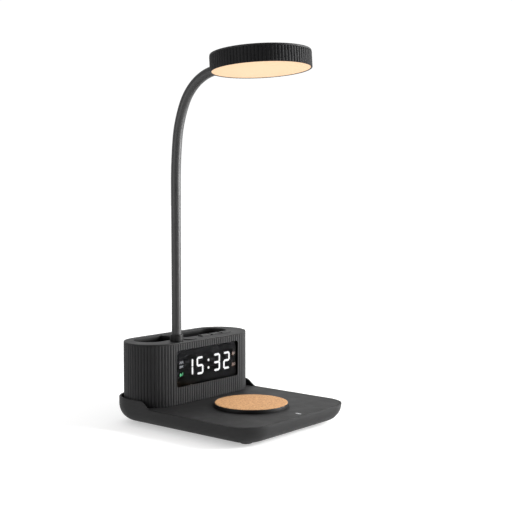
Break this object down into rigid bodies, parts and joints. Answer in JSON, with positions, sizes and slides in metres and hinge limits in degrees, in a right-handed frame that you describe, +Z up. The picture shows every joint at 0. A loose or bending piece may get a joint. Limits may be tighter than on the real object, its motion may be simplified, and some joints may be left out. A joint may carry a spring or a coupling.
{
  "type": "desk lamp with pen well",
  "caption": "Desk lamp: tray base with a round charging pad, a fluted clock housing with a divided pen well on top, and a round light head on a bendable neck.",
  "frame": {"origin": "on the desk, under the centre of the tray base's outline", "axes": "+Z up, -Y towards the user (the display faces -Y), +X to the user's right; the neck's plane is parallel to YZ"},
  "size_m": [0.1733, 0.2223, 0.3804],
  "materials": {
    "charcoal_plastic": "fine matt moulding texture",
    "rubber_black": "matt",
    "steel": "satin",
    "ballast_steel": "plain",
    "black_plastic": "satin",
    "cork": "pressed cork",
    "copper": "enamelled wire",
    "ferrite": "matt",
    "circuit_board": "solder mask",
    "clear_light_pipe": "gloss",
    "flat_lead": "satin",
    "smoked_window": "gloss",
    "digit_white": "lit",
    "status_amber": "lit",
    "board_aluminium": "white solder mask",
    "led_yellow": "lit",
    "white_plastic": "satin",
    "opal_diffuser": "opal"
  },
  "bodies": {
    "base": {"base_shell": "charcoal_plastic", "base_feet": "rubber_black", "base_screws": "steel", "ballast_plate": "ballast_steel", "top_plate": "charcoal_plastic", "housing_screws": "steel", "charger_ring": "black_plastic", "cork_pad": "cork", "charging_coil": "copper", "ferrite_disc": "ferrite", "charger_board": "circuit_board", "charge_light": "clear_light_pipe", "charger_ribbon": "flat_lead", "board_screws": "steel", "housing_shell": "charcoal_plastic", "top_deck": "charcoal_plastic", "display_window": "smoked_window", "display_module": "black_plastic", "clock_digits": "digit_white", "status_lights": "status_amber", "display_board": "circuit_board", "display_ribbon": "flat_lead", "main_board": "circuit_board", "coin_cell": "steel", "cell_holder": "black_plastic", "buzzer": "black_plastic", "power_inlet": "steel", "key_board": "circuit_board", "tact_switches": "black_plastic", "neck_collar": "charcoal_plastic", "neck_nut": "steel", "neck_sleeve": "rubber_black", "neck_lead": "rubber_black", "core_foot": "steel"},
    "neck_link_1": {"core_link_1": "steel"},
    "neck_link_2": {"core_link_2": "steel"},
    "neck_link_3": {"core_link_3": "steel"},
    "neck_link_4": {"core_link_4": "steel"},
    "neck_link_5": {"core_link_5": "steel"},
    "neck_link_6": {"core_link_6": "steel"},
    "neck_link_7": {"core_link_7": "steel"},
    "neck_link_8": {"core_link_8": "steel"},
    "neck_link_9": {"core_link_9": "steel"},
    "neck_link_10": {"core_link_10": "steel"},
    "neck_link_11": {"core_link_11": "steel"},
    "head": {"core_tip": "steel", "head_shell": "charcoal_plastic", "head_top": "charcoal_plastic", "head_socket": "charcoal_plastic", "led_board": "board_aluminium", "led_chips": "led_yellow", "light_guide": "white_plastic", "diffuser": "opal_diffuser", "head_screws": "steel"},
    "power_button_body": {"power_button": "charcoal_plastic"},
    "key_1_body": {"key_1": "charcoal_plastic"},
    "key_2_body": {"key_2": "charcoal_plastic"},
    "key_3_body": {"key_3": "charcoal_plastic"}
  },
  "joints": [
    {"name": "neck_bend_1", "type": "hinge", "parent": "base", "child": "neck_link_1", "pos_m": [-0.0388, 0.0412, 0.0983], "axis": [1, 0, 0], "range_deg": [-10, 10], "deforming": ["neck_sleeve", "neck_lead"]},
    {"name": "neck_bend_2", "type": "hinge", "parent": "neck_link_1", "child": "neck_link_2", "pos_m": [-0.0388, 0.0412, 0.12864], "axis": [0, 1, 0], "range_deg": [-10, 10], "deforming": ["neck_sleeve", "neck_lead"]},
    {"name": "neck_bend_3", "type": "hinge", "parent": "neck_link_2", "child": "neck_link_3", "pos_m": [-0.0388, 0.0412, 0.15898], "axis": [1, 0, 0], "range_deg": [-10, 10], "deforming": ["neck_sleeve", "neck_lead"]},
    {"name": "neck_bend_4", "type": "hinge", "parent": "neck_link_3", "child": "neck_link_4", "pos_m": [-0.0388, 0.0412, 0.18932], "axis": [0, 1, 0], "range_deg": [-10, 10], "deforming": ["neck_sleeve", "neck_lead"]},
    {"name": "neck_bend_5", "type": "hinge", "parent": "neck_link_4", "child": "neck_link_5", "pos_m": [-0.0388, 0.0412, 0.21966], "axis": [1, 0, 0], "range_deg": [-10, 10], "deforming": ["neck_sleeve", "neck_lead"]},
    {"name": "neck_bend_6", "type": "hinge", "parent": "neck_link_5", "child": "neck_link_6", "pos_m": [-0.0388, 0.0412, 0.25], "axis": [0, 1, 0], "range_deg": [-10, 10], "deforming": ["neck_sleeve", "neck_lead"]},
    {"name": "neck_bend_7", "type": "hinge", "parent": "neck_link_6", "child": "neck_link_7", "pos_m": [-0.0388, 0.04055, 0.27363], "axis": [1, 0, 0], "range_deg": [-15, 15], "deforming": ["neck_sleeve", "neck_lead"]},
    {"name": "neck_bend_8", "type": "hinge", "parent": "neck_link_7", "child": "neck_link_8", "pos_m": [-0.0388, 0.0386, 0.29719], "axis": [0, 0.994, 0.1097], "range_deg": [-15, 15], "deforming": ["neck_sleeve", "neck_lead"]},
    {"name": "neck_bend_9", "type": "hinge", "parent": "neck_link_8", "child": "neck_link_9", "pos_m": [-0.0388, 0.0349, 0.31612], "axis": [1, 0, 0], "range_deg": [-15, 15], "deforming": ["neck_sleeve", "neck_lead"]},
    {"name": "neck_bend_10", "type": "hinge", "parent": "neck_link_9", "child": "neck_link_10", "pos_m": [-0.0388, 0.02813, 0.33419], "axis": [0, 0.9041, 0.4274], "range_deg": [-15, 15], "deforming": ["neck_sleeve", "neck_lead"]},
    {"name": "neck_bend_11", "type": "hinge", "parent": "neck_link_10", "child": "neck_link_11", "pos_m": [-0.0388, 0.01433, 0.35225], "axis": [1, 0, 0], "range_deg": [-15, 15], "deforming": ["neck_sleeve", "neck_lead"]},
    {"name": "neck_bend_12", "type": "hinge", "parent": "neck_link_11", "child": "head", "pos_m": [-0.0388, -0.00566, 0.36308], "axis": [0, 0.2817, 0.9595], "range_deg": [-15, 15], "deforming": ["neck_sleeve", "neck_lead"]},
    {"name": "power_button_press", "type": "slide", "parent": "base", "child": "power_button_body", "axis": [0, 0, -1], "range_m": [0, 0.0008], "stiffness_N_per_m": 600, "springref_m": -0.0005},
    {"name": "key_1_press", "type": "slide", "parent": "base", "child": "key_1_body", "axis": [0, 0, -1], "range_m": [0, 0.0008], "stiffness_N_per_m": 600, "springref_m": -0.0005},
    {"name": "key_2_press", "type": "slide", "parent": "base", "child": "key_2_body", "axis": [0, 0, -1], "range_m": [0, 0.0008], "stiffness_N_per_m": 600, "springref_m": -0.0005},
    {"name": "key_3_press", "type": "slide", "parent": "base", "child": "key_3_body", "axis": [0, 0, -1], "range_m": [0, 0.0008], "stiffness_N_per_m": 600, "springref_m": -0.0005}
  ],
  "couplings": [
    {"joint": "neck_bend_3", "follows": "neck_bend_1", "ratio": 1},
    {"joint": "neck_bend_5", "follows": "neck_bend_1", "ratio": 1},
    {"joint": "neck_bend_4", "follows": "neck_bend_2", "ratio": 1},
    {"joint": "neck_bend_6", "follows": "neck_bend_2", "ratio": 1},
    {"joint": "neck_bend_9", "follows": "neck_bend_7", "ratio": 1},
    {"joint": "neck_bend_11", "follows": "neck_bend_7", "ratio": 1},
    {"joint": "neck_bend_10", "follows": "neck_bend_8", "ratio": 1},
    {"joint": "neck_bend_12", "follows": "neck_bend_8", "ratio": 1}
  ]
}
